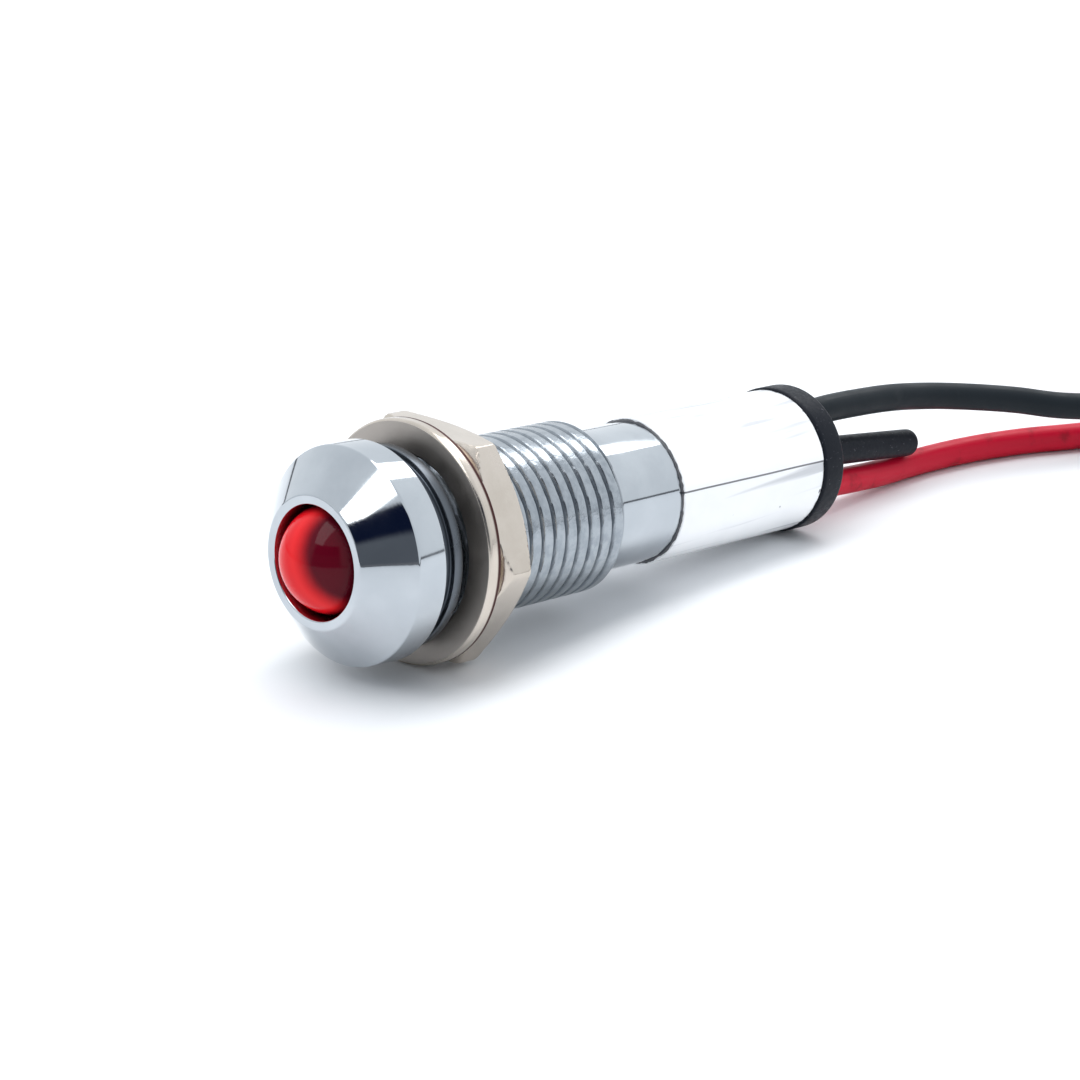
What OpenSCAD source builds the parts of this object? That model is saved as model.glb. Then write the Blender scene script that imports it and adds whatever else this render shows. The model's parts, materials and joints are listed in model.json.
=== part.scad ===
// Panel pilot light, 8 mm, with its nut, washer and two leads, lying on a flat surface.
// The lamp is drawn along its own axis, lens first, and is then laid down so that
// the washer's rim and the rear plug's rim both touch the surface at z = 0.

/* [Head] */
// Radius of the flat ring round the lens
land_r = 3.0; // [2.8:0.05:3.2]
// Radius of the rim, the widest part of the head
rim_r = 4.9; // [4.7:0.05:5.2]
// Length of the cone between the flat ring and the rim
cone_len = 1.7; // [1.2:0.1:2.2]
// Width of the rim
rim_len = 1.5; // [1.0:0.1:2.0]
// Radius at the bottom of the groove behind the rim
groove_r = 4.3; // [4.1:0.05:4.4]
// Width of the groove behind the rim
groove_len = 0.8; // [0.5:0.1:1.2]
// Radius of the shoulder that seats on the panel
shoulder_r = 4.55; // [4.45:0.05:4.7]
// Width of the shoulder that seats on the panel
shoulder_len = 0.5; // [0.3:0.1:0.8]
// Bevel on the edges of the head
head_bevel = 0.1; // [0.05:0.01:0.15]

/* [Barrel] */
// Outside radius of the thread
thread_r = 4.0; // [3.9:0.05:4.05]
// Pitch of the thread
thread_pitch = 0.75; // [0.5:0.05:0.8]
// Length from the shoulder to the end of the thread
thread_len = 10.9; // [9:0.1:14]
// How far the run-out groove goes below the thread's root
relief_below = 0.04; // [0.02:0.01:0.06]
// Width of the run-out groove next to the shoulder
relief_len = 0.6; // [0.4:0.1:1]
// Outside radius of the smooth tail
tail_r = 3.35; // [3.3:0.01:3.36]
// Length of the smooth tail
tail_len = 14.5; // [13:0.1:19]
// Radius of the main bore
bore_r = 2.95; // [2.9:0.01:3.0]

/* [Lamp] */
// Radius of the lamp's dome and body
lamp_r = 2.45; // [2.35:0.01:2.5]
// How far the dome stands out of the head
lamp_proud = 1.15; // [0.8:0.05:1.5]
// Length of the lamp's body between dome and flange
lamp_body_len = 5.1; // [4.5:0.1:5.5]
// Radius of the lamp's flange
lamp_flange_r = 2.88; // [2.8:0.01:2.89]
// Thickness of the lamp's flange
lamp_flange_len = 1.0; // [0.8:0.1:1.2]
// Distance between the lamp's two legs
leg_spacing = 2.54; // [2.4:0.01:2.6]
// Width of a leg, which is square
leg_w = 0.5; // [0.4:0.05:0.55]
// Length of the legs behind the flange
leg_len = 4.1; // [3.8:0.1:4.5]
// Radius of the reflector cup
cup_r = 0.6; // [0.5:0.05:0.65]
// Depth of the reflector cup
cup_depth = 0.5; // [0.3:0.05:0.6]
// Side of the light-giving chip
chip_w = 0.3; // [0.2:0.02:0.36]

/* [Washer and nut] */
// Outside radius of the washer
washer_r = 5.5; // [5.3:0.05:5.7]
// Thickness of the washer
washer_len = 0.7; // [0.4:0.05:0.9]
// Bevel on the washer's outer edges
washer_bevel = 0.12; // [0.05:0.01:0.15]
// Free distance between shoulder and washer, as stored
washer_gap = 0.7; // [0.3:0.1:2]
// Width across the nut's flats
nut_flats = 10.0; // [9.6:0.1:10.4]
// Thickness of the nut
nut_len = 2.0; // [1.5:0.1:2.5]
// Turn of the nut about the axis, from a flat facing down
nut_turn = 3; // [0:1:12]
// Slope of the nut's corner chamfers, in degrees
nut_chamfer = 30; // [20:1:35]
// Clearance of the washer's hole round the thread
washer_clear = 0.08; // [0.03:0.01:0.1]
// Clearance of the nut's bore round the thread
nut_clear = 0.05; // [0.02:0.01:0.1]

/* [Circuit] */
// Radius of the resistor's body
resistor_r = 1.15; // [1.0:0.01:1.16]
// Length of the resistor's body
resistor_len = 6.3; // [5.5:0.1:6.5]
// Radius of the rectifier's body
diode_r = 1.3; // [1.2:0.01:1.32]
// Length of the rectifier's body
diode_len = 5.2; // [4.6:0.1:5.4]
// Radius of all connecting wires
wire_r = 0.3; // [0.2:0.01:0.3]
// Length of each soldered lap
lap_len = 1.8; // [1.2:0.1:2.0]
// Radius of each soldered joint
solder_r = 0.82; // [0.75:0.01:0.83]
// Wall of the insulating sleeves
sleeve_wall = 0.15; // [0.1:0.01:0.2]
// Length of the insulating sleeves
sleeve_len = 4.4; // [3.5:0.1:4.8]

/* [Label and plug] */
// Bare metal between the thread and the label
label_gap = 4.4; // [3:0.1:6]
// Thickness of the paper label
label_wall = 0.1; // [0.06:0.01:0.12]
// Thickness of the clear film over the label
film_wall = 0.05; // [0.03:0.01:0.06]
// How far the film runs past the label's front edge
film_lap = 0.12; // [0.05:0.01:0.3]
// Radius of the plug's flange
plug_r = 3.6; // [3.52:0.02:3.8]
// Thickness of the plug's flange
plug_flange_len = 1.5; // [1:0.1:2]
// Bevel on the plug's edges
plug_bevel = 0.2; // [0.1:0.05:0.3]
// Length of the spigot inside the barrel
spigot_len = 4.0; // [3:0.1:4.5]
// Radius of the plug's tapered tail at its root
peg_r = 0.78; // [0.6:0.01:0.85]
// Radius of the plug's tapered tail near its tip
peg_tip_r = 0.7; // [0.5:0.01:0.75]
// Rounding of the plug's tail at its tip
peg_round = 0.4; // [0.2:0.05:0.45]
// Length of the plug's tail
peg_len = 10.0; // [6:0.1:12]
// Droop of the plug's tail from the lamp's axis, in degrees
peg_droop = 4.4; // [0:0.1:8]

/* [Leads] */
// Outside diameter of a lead
lead_d = 1.4; // [1.2:0.05:1.4]
// Distance of each lead from the lamp's axis in the plug
lead_offset = 1.95; // [1.8:0.01:2.0]
// Length of insulated lead in front of the spigot
lead_inside = 1.2; // [0.8:0.1:2]
// Clearance of a lead in the plug's hole
lead_clear = 0.02; // [0.01:0.01:0.04]
// Length of the bare tinned tip
tip_len = 5.0; // [3:0.1:8]
// Clearance between parts that push together
push_clear = 0.02; // [0.01:0.01:0.04]

/* [Hidden] */
$fn = 96;
cut = 0.05; // overrun of a cutting tool past the face that it cuts
fine = 48; // facets of the small round parts
thread_form = 0.6134; // depth of a metric thread for a pitch of 1

// Places along the axis, counted from the flat ring round the lens
rim_front = cone_len;
rim_rear = rim_front + rim_len;
shoulder_front = rim_rear + groove_len;
shoulder_rear = shoulder_front + shoulder_len;
thread_rear = shoulder_rear + thread_len;
thread_depth = thread_form * thread_pitch;
thread_bevel = thread_depth / 2;
relief_r = thread_r - thread_depth - relief_below;
tail_rear = thread_rear + tail_len;
dome_centre = lamp_r - lamp_proud;
flange_front = dome_centre + lamp_body_len;
flange_rear = flange_front + lamp_flange_len;
leg_rear = flange_rear + leg_len;
washer_front = shoulder_rear + washer_gap;
washer_rear = washer_front + washer_len;
nut_front = washer_rear + push_clear;
label_front = thread_rear + label_gap;
plug_rear = tail_rear + plug_flange_len;
spigot_front = tail_rear - spigot_len;
lead_front = spigot_front - lead_inside;

// Lamp legs and the two components behind them, one above and one below the axis
leg_up = leg_spacing / 2;
anvil_wall = 0.2; // how far the frame stands clear of the flange
anvil_len = 2.6; // from the dome's centre to the frame's front
anvil_rear = flange_front - anvil_wall;
anvil_front = dome_centre + anvil_len;
cup_front = anvil_front - cup_depth;
cup_wall = 0.08;
cup_floor = 0.1;
cup_floor_r = 0.8 * chip_w;
post_len = 1.1; // the wide front of the other leg
chip_len = chip_w / 2;
solder_film = 0.03;
wire_side = leg_w / 2 + wire_r + solder_film;
lap_side = wire_side / 2;
diode_drop = 0.05;
diode_up = -leg_up - diode_drop;
diode_bevel = 0.1;
lap_front = leg_rear - lap_len;
parts_gap = 1.4; // bare wire between the laps and the components
parts_front = leg_rear + parts_gap;
core_cover = 0.5; // bared core between lap and insulation
core_len = lap_len + core_cover;
rear_lap_front = lead_front - core_len;
solder_up = (leg_up + lead_offset) / 2;
solder_bevel = 0.2;
plug_hole_r = lead_d / 2 + lead_clear;

// Nut: its corners and the cone that chamfers them
nut_corner_r = nut_flats / 2 / cos(30);
chamfer_inset = 0.1; // from the flats in to the chamfer's circle
chamfer_over = 0.3; // how far the chamfer's cone runs past the corners
chamfer_r = nut_flats / 2 - chamfer_inset;
chamfer_out_r = nut_corner_r + chamfer_over;
sink_depth = 0.3; // countersink at both mouths of the nut's bore
chamfer_depth = (chamfer_out_r - chamfer_r) * tan(nut_chamfer);

// The lamp lies on the washer's rim and the plug's rim, so its axis falls by this angle
rest_r = washer_r;
rest_at = washer_rear - washer_bevel;
plug_rest_at = plug_rear - plug_bevel;
tilt = atan((rest_r - plug_r) / (plug_rest_at - rest_at));
axis_height = rest_at * sin(tilt) + rest_r * cos(tilt);
peg_root = 0.5; // length of the tail inside the flange
peg_angle = tilt + peg_droop;
peg_root_x = plug_rear * cos(tilt);
peg_end_x = peg_root_x + (peg_len - peg_round) * cos(peg_angle)
    + (peg_tip_r - peg_round) * sin(peg_angle) + peg_round;
dome_end_x = dome_centre * cos(tilt) - lamp_r;
origin_x = (dome_end_x + peg_end_x) / 2;

// Leads: each leaves the plug and is wound into one long hank, the black one on top of the red one
hank_pitch = lead_d;
hank_turns = 2;
hank_r = 4.25;
hank_half = 6.4;
hank_at = [50.6, -1.6];
hank_lift = hank_turns * hank_pitch + push_clear;
red_z = lead_d / 2;
black_z = red_z + hank_lift;
red_route = [
    [14, 0, 1.4], [16.5, 0.1, 1.1], [19, 0.25, 0.82], [21.5, 0.3, 0.71], [24, 0, 0.7], [26.5, -0.6, 0.7],
    [29, -1.55, 0.7], [31.5, -2.9, 0.7], [34, -4.2, 0.7], [36.5, -5.05, 0.7], [39, -5.55, 0.7],
    [41.6, -5.8, 0.7]
];
black_route = [
    [14, 0, 5.4], [16.5, 0, 5.2], [19.3, -0.1, 4.9], [22, -0.5, 4.5], [24.5, -1.3, 4.08], [27, -2.35, 3.6],
    [29.3, -3.6, 3.07], [31.6, -4.75, 2.8], [34, -5.5, 2.8], [36.5, -5.87, 3.03], [39, -6, 3.4],
    [41.6, -5.93, 3.53]
];
// Loose ends, given from the start of the hank's near side: each swings wide round the hank's first corner,
// comes down outside it and points away
red_end = [
    [-4.25, 4.25, 1.4], [-4.07, 2.57, 1.41], [-3.39, 0.86, 1.42], [-2.03, -0.65, 1.42], [0, -1.42, 1.4],
    [2.2, -1.65, 1.1], [4.2, -1.85, 0.4], [6, -1.9, 0], [9.5, -1.9, 0]
];
black_end = [
    [-4.25, 4.25, 1.4], [-4.07, 2.57, 1.42], [-3.39, 0.86, 1.45], [-2.03, -0.65, 1.45], [0, -1.45, 1.4],
    [1.8, -1.95, 1.1], [3.6, -2.7, 0.2], [5.2, -3.3, -1.1], [6.8, -3.65, -2.3], [8.2, -3.75, -2.82],
    [9.6, -3.75, -2.82]
];

// A point of the lamp, "along" its axis and "up" from it, in the frame of the surface
function place(along, up) = [
    along * cos(tilt) + up * sin(tilt) - origin_x,
    0,
    axis_height - along * sin(tilt) + up * cos(tilt)
];
// A place given from the start of the hank's near side: run along it, out from it, and height
function at_hank(run, out, height) = [
    hank_at[0] - hank_half + run, hank_at[1] - hank_r + out, height
];
function end_points(height, steps) = [for (p = steps) at_hank(p[0], p[1], height + p[2])];
// Outline of the hank's straight sides and round ends, for one radius of its ends
function hank_outline(radius) = [
    for (end = [0, 180], i = [0:24])
        let (angle = end - 90 + 7.5 * i)
            [(end == 0 ? hank_half : -hank_half) + radius * cos(angle), radius * sin(angle)]
];

// Lays what is drawn along +Z down on the lamp's axis, with +X turned up
module on_axis(along = 0, up = 0, side = 0) {
    translate([-origin_x, 0, axis_height])
        rotate([0, 90 + tilt, 0])
            rotate([0, 0, 180])
                translate([up, side, along])
                    children();
}

module pipe(r_out, r_in, length) {
    difference() {
        cylinder(r = r_out, h = length);
        translate([0, 0, -cut]) cylinder(r = r_in, h = length + 2 * cut);
    }
}

// Cylinder with both edges bevelled
module bevelled(r, length, bevel) {
    rotate_extrude()
        polygon([
            [0, 0], [r - bevel, 0], [r, bevel], [r, length - bevel], [r - bevel, length], [0, length]
        ]);
}

// Tube of eight sides swept along points
module swept(points, radius) {
    sides = 8;
    last = len(points) - 1;
    function dir(i) =
        let (a = points[max(i - 1, 0)], b = points[min(i + 1, last)], v = b - a) v / norm(v);
    rings = [
        for (i = [0:last])
            let (d = dir(i), right = cross(d, [0, 0, 1]) / norm(cross(d, [0, 0, 1])), over = cross(right, d))
            for (k = [0:sides - 1])
                points[i] + radius * (right * cos(k * 360 / sides) + over * sin(k * 360 / sides))
    ];
    walls = [
        for (i = [0:last - 1])
            for (k = [0:sides - 1])
                let (a = i * sides + k, b = i * sides + (k + 1) % sides)
                each [[a, b, b + sides], [a, b + sides, a + sides]]
    ];
    front = [for (k = [1:sides - 2]) [0, k + 1, k]];
    rear = [for (k = [1:sides - 2]) [last * sides, last * sides + k, last * sides + k + 1]];
    polyhedron(points = rings, faces = concat(walls, front, rear), convexity = 6);
}

// Turned brass body: land, cone, rim, groove, shoulder, thread, tail and stepped bore
module bezel_body() {
    b = head_bevel;
    color("silver") on_axis()
        difference() {
            rotate_extrude()
                polygon([
                    [0, 0], [land_r - b, 0], [land_r, b / 2],
                    [rim_r - b / 2, rim_front - b / 2], [rim_r, rim_front + b / 2],
                    [rim_r, rim_rear - b], [rim_r - b, rim_rear],
                    [groove_r, rim_rear + b], [groove_r, shoulder_front - b],
                    [shoulder_r - b, shoulder_front], [shoulder_r, shoulder_front + b],
                    [shoulder_r, shoulder_rear - b], [shoulder_r - b, shoulder_rear],
                    [relief_r, shoulder_rear], [relief_r, shoulder_rear + relief_len],
                    [thread_r, shoulder_rear + relief_len + (thread_r - relief_r) / 2],
                    [thread_r, thread_rear - thread_bevel], [thread_r - thread_bevel, thread_rear],
                    [tail_r, thread_rear], [tail_r, tail_rear], [0, tail_rear]
                ]);
            translate([0, 0, -cut]) cylinder(r = lamp_r + push_clear, h = flange_front + 2 * cut);
            translate([0, 0, -cut])
                cylinder(r1 = lamp_r + push_clear + b + cut, r2 = lamp_r + push_clear, h = b + cut);
            translate([0, 0, flange_front]) cylinder(r = bore_r, h = tail_rear - flange_front + cut);
        }
}

// Metal frame of the lamp: one leg carries the reflector cup, the other a small post
module cathode_solid() {
    translate([-leg_up, 0, 0]) {
        translate([-leg_w / 2, -leg_w / 2, anvil_rear]) cube([leg_w, leg_w, leg_rear - anvil_rear]);
        translate([-leg_w / 2, -leg_w / 2, anvil_front])
            cube([leg_up + leg_w, leg_w, anvil_rear - anvil_front]);
    }
    translate([0, 0, cup_front])
        difference() {
            cylinder(r = cup_r, h = cup_depth + anvil_wall, $fn = fine);
            translate([0, 0, -cut])
                cylinder(r1 = cup_r - cup_wall, r2 = cup_floor_r, h = cup_depth - cup_floor, $fn = fine);
        }
}

module anode_solid() {
    translate([leg_up - leg_w / 2, -leg_w / 2, cup_front]) cube([leg_w, leg_w, leg_rear - cup_front]);
    translate([leg_up - leg_w, -leg_w / 2, cup_front]) cube([leg_w + cut, leg_w, post_len]);
}

module chip_solid() {
    translate([-chip_w / 2, -chip_w / 2, anvil_front - cup_floor - cut - chip_len])
        cube([chip_w, chip_w, chip_len]);
}

module led_cathode_leg() {
    color("gainsboro") on_axis() cathode_solid();
}

module led_anode_leg() {
    color("gainsboro") on_axis() anode_solid();
}

module led_chip() {
    color("gold") on_axis() chip_solid();
}

// Moulded epoxy body with dome and flange; the flange is flat on the cathode's side
module led_lens() {
    color([0.75, 0.05, 0.08]) on_axis()
        difference() {
            union() {
                intersection() {
                    translate([0, 0, dome_centre]) sphere(r = lamp_r);
                    translate([-lamp_r, -lamp_r, dome_centre - lamp_r])
                        cube([2 * lamp_r, 2 * lamp_r, lamp_r]);
                }
                translate([0, 0, dome_centre]) cylinder(r = lamp_r, h = lamp_body_len);
                translate([0, 0, flange_front])
                    difference() {
                        cylinder(r = lamp_flange_r, h = lamp_flange_len);
                        translate([-2 * lamp_flange_r - lamp_r, -lamp_flange_r, -cut])
                            cube([2 * lamp_flange_r, 2 * lamp_flange_r, lamp_flange_len + 2 * cut]);
                    }
            }
            cathode_solid();
            anode_solid();
            chip_solid();
        }
}

// A joint of solder round two conductors that lie side by side, the first one square or round
module solder(along, up, up_a, up_b, side_b, square) {
    color("lightgray") on_axis(along, up, lap_side)
        difference() {
            bevelled(solder_r, lap_len, solder_bevel, $fn = fine);
            translate([up_a - up, square ? -lap_side : lap_side, -cut])
                if (square) {
                    translate([-leg_w / 2, -leg_w / 2, 0]) cube([leg_w, leg_w, lap_len + 2 * cut]);
                } else {
                    cylinder(r = wire_r, h = lap_len + 2 * cut, $fn = fine);
                }
            translate([up_b - up, side_b - lap_side, -cut])
                cylinder(r = wire_r, h = lap_len + 2 * cut, $fn = fine);
        }
}

module wire(along, up, side, length) {
    color("gainsboro") on_axis(along, up, side) cylinder(r = wire_r, h = length, $fn = fine);
}

resistor_rear = parts_front + resistor_len;
diode_rear = parts_front + diode_len;

module solder_anode() {
    solder(lap_front, leg_up, leg_up, leg_up, wire_side, true);
}

module solder_cathode() {
    solder(lap_front, -leg_up, -leg_up, diode_up, wire_side, true);
}

module solder_red() {
    solder(rear_lap_front, -solder_up, diode_up, -lead_offset, 0, false);
}

module solder_black() {
    solder(rear_lap_front, solder_up, leg_up, lead_offset, 0, false);
}

module resistor_wire_front() {
    wire(lap_front, leg_up, wire_side, parts_front - lap_front);
}

module resistor_wire_rear() {
    wire(resistor_rear, leg_up, wire_side, rear_lap_front + lap_len - resistor_rear);
}

module diode_wire_front() {
    wire(lap_front, diode_up, wire_side, parts_front - lap_front);
}

module diode_wire_rear() {
    wire(diode_rear, diode_up, wire_side, rear_lap_front + lap_len - diode_rear);
}

// Film resistor: a waisted body with an end bell at each end
module resistor_body() {
    bell = resistor_len / 5;
    waist = resistor_r * 0.84;
    slope = (resistor_r - waist) * 2;
    end_r = resistor_r * 0.7;
    round = resistor_r * 0.3;
    color("tan") on_axis(parts_front, leg_up, wire_side)
        rotate_extrude()
            polygon([
                [0, 0], [end_r, 0], [resistor_r, round], [resistor_r, bell],
                [waist, bell + slope], [waist, resistor_len - bell - slope],
                [resistor_r, resistor_len - bell], [resistor_r, resistor_len - round],
                [end_r, resistor_len], [0, resistor_len]
            ]);
}

module diode_body() {
    color("dimgray") on_axis(parts_front, diode_up, wire_side) bevelled(diode_r, diode_len, diode_bevel);
}

module sleeve(up) {
    color("ivory") on_axis(flange_rear + push_clear, up, lap_side)
        pipe(solder_r + push_clear + sleeve_wall, solder_r + push_clear, sleeve_len);
}

module sleeve_anode() {
    sleeve(leg_up);
}

module sleeve_cathode() {
    sleeve(-leg_up);
}

module label_wrap() {
    color("white") on_axis(label_front) pipe(tail_r + label_wall, tail_r, tail_rear - label_front);
}

module label_film() {
    inner = tail_r + label_wall;
    color([0.9, 0.95, 1, 0.3]) on_axis()
        difference() {
            translate([0, 0, label_front - film_lap])
                pipe(inner + film_wall, tail_r, tail_rear - label_front + film_lap);
            translate([0, 0, label_front]) cylinder(r = inner, h = tail_rear - label_front + cut);
        }
}

// Moulded plug: flange, spigot in the bore, two lead holes and a long drooping tail
module rear_plug() {
    color([0.13, 0.14, 0.16])
        difference() {
            union() {
                on_axis(tail_rear) bevelled(plug_r, plug_flange_len, plug_bevel);
                on_axis(spigot_front)
                    bevelled(bore_r - push_clear, spigot_len + plug_bevel, plug_bevel);
                translate([peg_root_x - origin_x, 0, axis_height - plug_rear * sin(tilt)])
                    rotate([0, 90 + peg_angle, 0])
                        rotate_extrude()
                            union() {
                                polygon([
                                    [0, -peg_root], [peg_r, -peg_root], [peg_r, 0],
                                    [peg_tip_r, peg_len - peg_round], [0, peg_len - peg_round]
                                ]);
                                translate([0, peg_len - 2 * peg_round])
                                    square([peg_tip_r - peg_round, 2 * peg_round]);
                                translate([peg_tip_r - peg_round, peg_len - peg_round])
                                    intersection() {
                                        circle(r = peg_round, $fn = 32);
                                        square(peg_round);
                                    }
                            }
            }
            for (up = [-lead_offset, lead_offset])
                on_axis(spigot_front - cut, up)
                    cylinder(r = plug_hole_r, h = spigot_len + plug_flange_len + 2 * cut, $fn = fine);
        }
}

module flat_washer() {
    color([0.84, 0.81, 0.76]) on_axis(washer_front)
        difference() {
            bevelled(washer_r, washer_len, washer_bevel);
            translate([0, 0, -cut]) cylinder(r = thread_r + washer_clear, h = washer_len + 2 * cut);
        }
}

// Hexagon nut: corners chamfered on both faces, mouth of the bore countersunk
module panel_nut() {
    bore = thread_r + nut_clear;
    sink = bore + sink_depth;
    color([0.84, 0.81, 0.76]) on_axis(nut_front)
        difference() {
            intersection() {
                rotate([0, 0, nut_turn + 30]) cylinder(r = nut_corner_r, h = nut_len, $fn = 6);
                rotate_extrude()
                    polygon([
                        [0, 0], [chamfer_r, 0], [chamfer_out_r, chamfer_depth],
                        [chamfer_out_r, nut_len - chamfer_depth], [chamfer_r, nut_len], [0, nut_len]
                    ]);
            }
            translate([0, 0, -cut]) cylinder(r = bore, h = nut_len + 2 * cut);
            translate([0, 0, -cut]) cylinder(r1 = sink + cut, r2 = bore, h = sink_depth + cut);
            translate([0, 0, nut_len - sink_depth])
                cylinder(r1 = bore, r2 = sink + cut, h = sink_depth + cut);
        }
}

// One lead: the straight piece in the plug, then its route to the start of the hank
module lead(shade, up, route, height) {
    points = concat(
        [place(lead_front, up), place(spigot_front, up), place(plug_rear, up)],
        route,
        [at_hank(0, 0, height)]
    );
    color(shade) swept(points, lead_d / 2);
}

module lead_core(up) {
    color("peru") on_axis(lead_front - core_len, up) cylinder(r = wire_r, h = core_len, $fn = fine);
}

// Outer shape of the turns that lie on each other in the hank
module lead_coil(shade, height) {
    color(shade) translate([hank_at[0], hank_at[1], height - lead_d / 2])
        linear_extrude(hank_turns * hank_pitch)
            difference() {
                polygon(hank_outline(hank_r + lead_d / 2));
                polygon(hank_outline(hank_r - lead_d / 2));
            }
}

module lead_end(shade, height, steps) {
    color(shade) swept(end_points(height, steps), lead_d / 2);
}

// Bare tinned tip, straight on from the loose end
module lead_tip(height, steps) {
    points = end_points(height, steps);
    last = points[len(points) - 1];
    before = points[len(points) - 2];
    color("lightgray")
        translate(last)
            rotate([0, 90, atan2(last[1] - before[1], last[0] - before[0])])
                cylinder(r = wire_r, h = tip_len, $fn = fine);
}

red = [0.78, 0.1, 0.18];
black = [0.12, 0.13, 0.15];

module lead_red() {
    lead(red, -lead_offset, red_route, red_z);
}

module lead_red_core() {
    lead_core(-lead_offset);
}

module lead_red_coil() {
    lead_coil(red, red_z);
}

module lead_red_end() {
    lead_end(red, red_z, red_end);
}

module lead_red_tip() {
    lead_tip(red_z, red_end);
}

module lead_black() {
    lead(black, lead_offset, black_route, black_z);
}

module lead_black_core() {
    lead_core(lead_offset);
}

module lead_black_coil() {
    lead_coil(black, black_z);
}

module lead_black_end() {
    lead_end(black, black_z, black_end);
}

module lead_black_tip() {
    lead_tip(black_z, black_end);
}

bezel_body();
led_lens();
led_cathode_leg();
led_anode_leg();
led_chip();
sleeve_anode();
sleeve_cathode();
solder_anode();
solder_cathode();
solder_red();
solder_black();
resistor_body();
resistor_wire_front();
resistor_wire_rear();
diode_body();
diode_wire_front();
diode_wire_rear();
label_wrap();
label_film();
rear_plug();
flat_washer();
panel_nut();
lead_red();
lead_red_core();
lead_red_coil();
lead_red_end();
lead_red_tip();
lead_black();
lead_black_core();
lead_black_coil();
lead_black_end();
lead_black_tip();
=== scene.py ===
"""Panel pilot light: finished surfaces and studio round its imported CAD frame.

Everything is in metres in the frame of the CAD model. Distances along the light are measured from the
flat ring round the lamp, positive towards the leads, and radii from the light's own axis.
"""

import json
import math

import bmesh
import bpy
import numpy as np
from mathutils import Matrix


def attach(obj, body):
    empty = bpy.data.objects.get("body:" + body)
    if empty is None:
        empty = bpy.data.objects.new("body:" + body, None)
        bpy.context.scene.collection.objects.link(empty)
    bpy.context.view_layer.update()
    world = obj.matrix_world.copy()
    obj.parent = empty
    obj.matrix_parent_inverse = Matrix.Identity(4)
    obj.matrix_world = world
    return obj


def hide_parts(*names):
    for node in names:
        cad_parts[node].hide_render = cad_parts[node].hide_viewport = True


bl_info = {
    "name": "Panel Pilot Light",
    "version": (1, 0, 0),
    "blender": (4, 5, 0),
    "location": "3D View > Sidebar > Pilot Light",
    "description": "Builds a panel pilot light with two leads, and a small studio round it",
    "category": "Add Mesh",
}

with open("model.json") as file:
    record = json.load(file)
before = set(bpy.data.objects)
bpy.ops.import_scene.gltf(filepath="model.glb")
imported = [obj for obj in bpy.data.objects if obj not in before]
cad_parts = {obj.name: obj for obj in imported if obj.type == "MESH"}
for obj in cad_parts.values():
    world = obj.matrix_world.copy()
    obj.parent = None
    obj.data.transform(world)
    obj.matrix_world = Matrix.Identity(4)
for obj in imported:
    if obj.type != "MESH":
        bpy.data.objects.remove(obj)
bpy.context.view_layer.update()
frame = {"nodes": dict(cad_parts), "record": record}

MM = 0.001
# Points of a grid nearer than the first length fall together, and edges shorter than the second go
MERGE_WITHIN, SHORTEST_EDGE = 2e-7, 1e-8
JOINTS = {joint["name"]: joint for joint in frame["record"]["behaviour"]["joints"]}

# The light's axis, from the nut's own joint, which lies on it
AXIS = np.array(JOINTS["nut_turn"]["axis"])
SIDE = np.array([0.0, 1.0, 0.0])
LIFT = np.cross(AXIS, SIDE)
NUT_MIDDLE = 6.9 * MM
ORIGIN = np.array(JOINTS["nut_turn"]["pos_m"]) - AXIS * NUT_MIDDLE

# Places along the axis, radii and lengths of the pieces, in millimetres, and three angles in degrees:
# SEAM_TURN, TAIL_PEG_DROOP and NUT_TURN
LAND_R, RIM_R, GROOVE_R, SHOULDER_R = 3.0, 4.9, 4.3, 4.55
RIM_FRONT, RIM_REAR, SHOULDER_FRONT, SHOULDER_REAR = 1.7, 3.2, 4.0, 4.5
THREAD_R, THREAD_PITCH, THREAD_DEPTH, THREAD_REAR = 4.0, 0.75, 0.22, 15.4
RELIEF_R, RELIEF_REAR = 3.5, 5.1
TAIL_R, TAIL_REAR, BORE_R, LAMP_HOLE_R = 3.35, 29.9, 2.95, 2.47
DOME_CENTRE, LAMP_R, LAMP_FLANGE_R, FLANGE_FRONT, FLANGE_REAR = 1.3, 2.45, 2.88, 6.4, 7.4
LABEL_FRONT, FILM_R, FILM_LAP, SEAM_TURN = 19.8, 3.5, 0.05, 282.0
PLUG_R, PLUG_REAR, SPIGOT_FRONT = 3.6, 31.4, 25.9
LEAD_R, LEAD_UP = 0.7, 1.95
TAIL_PEG_R, TAIL_PEG_TIP_R, TAIL_PEG_LEN, TAIL_PEG_DROOP = 0.78, 0.7, 10.0, 4.4
WASHER_R, WASHER_HOLE_R, WASHER_FRONT, WASHER_REAR = 5.5, 4.08, 5.2, 5.9
NUT_FLAT, NUT_BORE_R, NUT_FRONT, NUT_REAR, NUT_TURN = 5.0, 4.05, 5.92, 7.92, 3.0


# -------- places and meshes


def place(along, up=0.0, side=0.0):
    """Points given along the axis, up from it and to its side, all in millimetres, as points in metres."""
    along, up, side = np.broadcast_arrays(along, up, side)
    return ORIGIN + MM * (
        along[..., None] * AXIS + up[..., None] * LIFT + side[..., None] * SIDE
    )


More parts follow.
